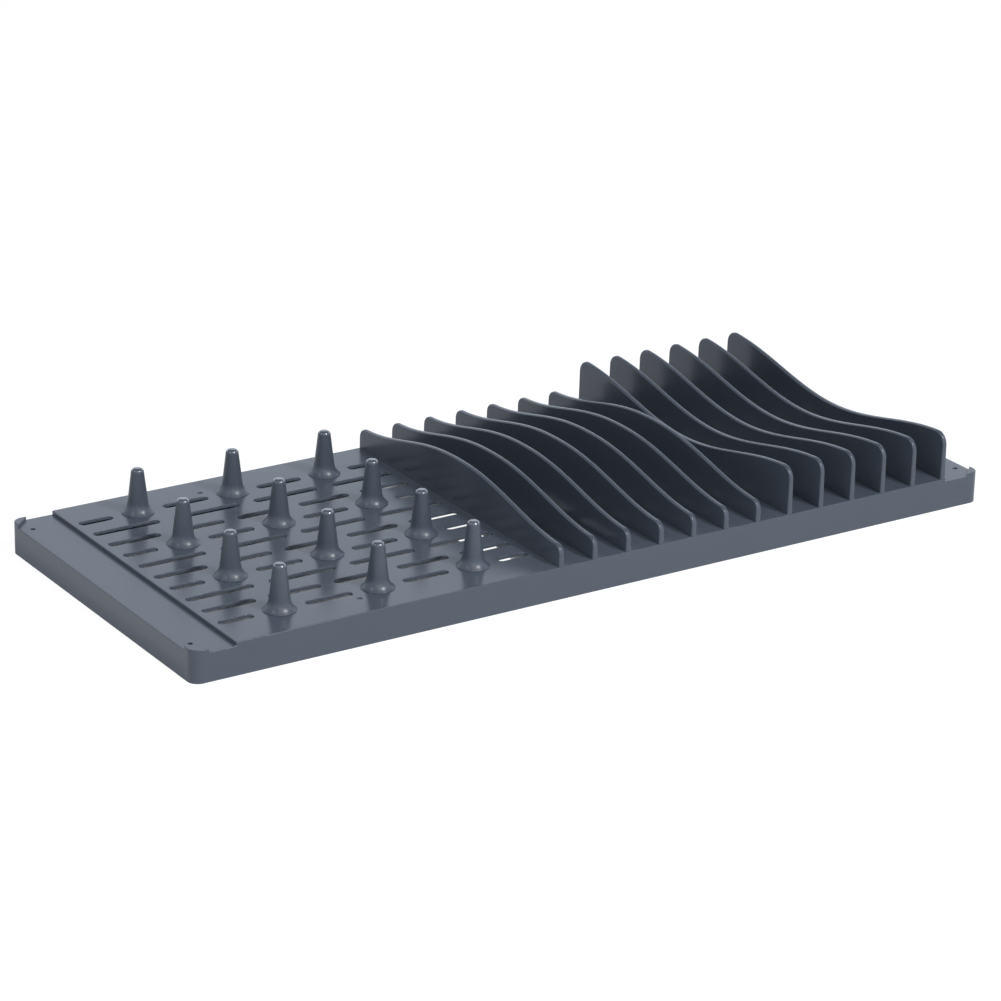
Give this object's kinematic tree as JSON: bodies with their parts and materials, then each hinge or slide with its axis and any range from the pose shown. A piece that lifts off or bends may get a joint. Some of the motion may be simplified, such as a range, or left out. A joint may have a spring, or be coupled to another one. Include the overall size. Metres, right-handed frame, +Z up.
{
  "type": "dish rack",
  "caption": "Low dish rack: a slotted drip tray, open below, with tapered cup pegs at one end, wavy upright plate fins at the other and a lower ledge at each end.",
  "frame": {"origin": "middle of the tray's footprint, on the surface that the skirt's bottom rim stands on", "axes": "+X along the tray from the cup pegs to the plate fins, -Y out of the long front side, +Z up"},
  "size_m": [0.588, 0.24, 0.0533],
  "materials": {
    "tray_plastic": "fine satin moulding, dark slate",
    "fin_plastic": "fine satin moulding, dark slate",
    "peg_plastic": "fine satin moulding, dark slate"
  },
  "bodies": {
    "root": {"tray_base": "tray_plastic", "plate_fin_01": "fin_plastic", "plate_fin_02": "fin_plastic", "plate_fin_03": "fin_plastic", "plate_fin_04": "fin_plastic", "plate_fin_05": "fin_plastic", "plate_fin_06": "fin_plastic", "plate_fin_07": "fin_plastic", "plate_fin_08": "fin_plastic", "plate_fin_09": "fin_plastic", "plate_fin_10": "fin_plastic", "plate_fin_11": "fin_plastic", "plate_fin_12": "fin_plastic", "plate_fin_13": "fin_plastic", "cup_peg_01": "peg_plastic", "cup_peg_02": "peg_plastic", "cup_peg_03": "peg_plastic", "cup_peg_04": "peg_plastic", "cup_peg_05": "peg_plastic", "cup_peg_06": "peg_plastic", "cup_peg_07": "peg_plastic", "cup_peg_08": "peg_plastic", "cup_peg_09": "peg_plastic", "cup_peg_10": "peg_plastic", "cup_peg_11": "peg_plastic", "cup_peg_12": "peg_plastic"}
  },
  "joints": []
}
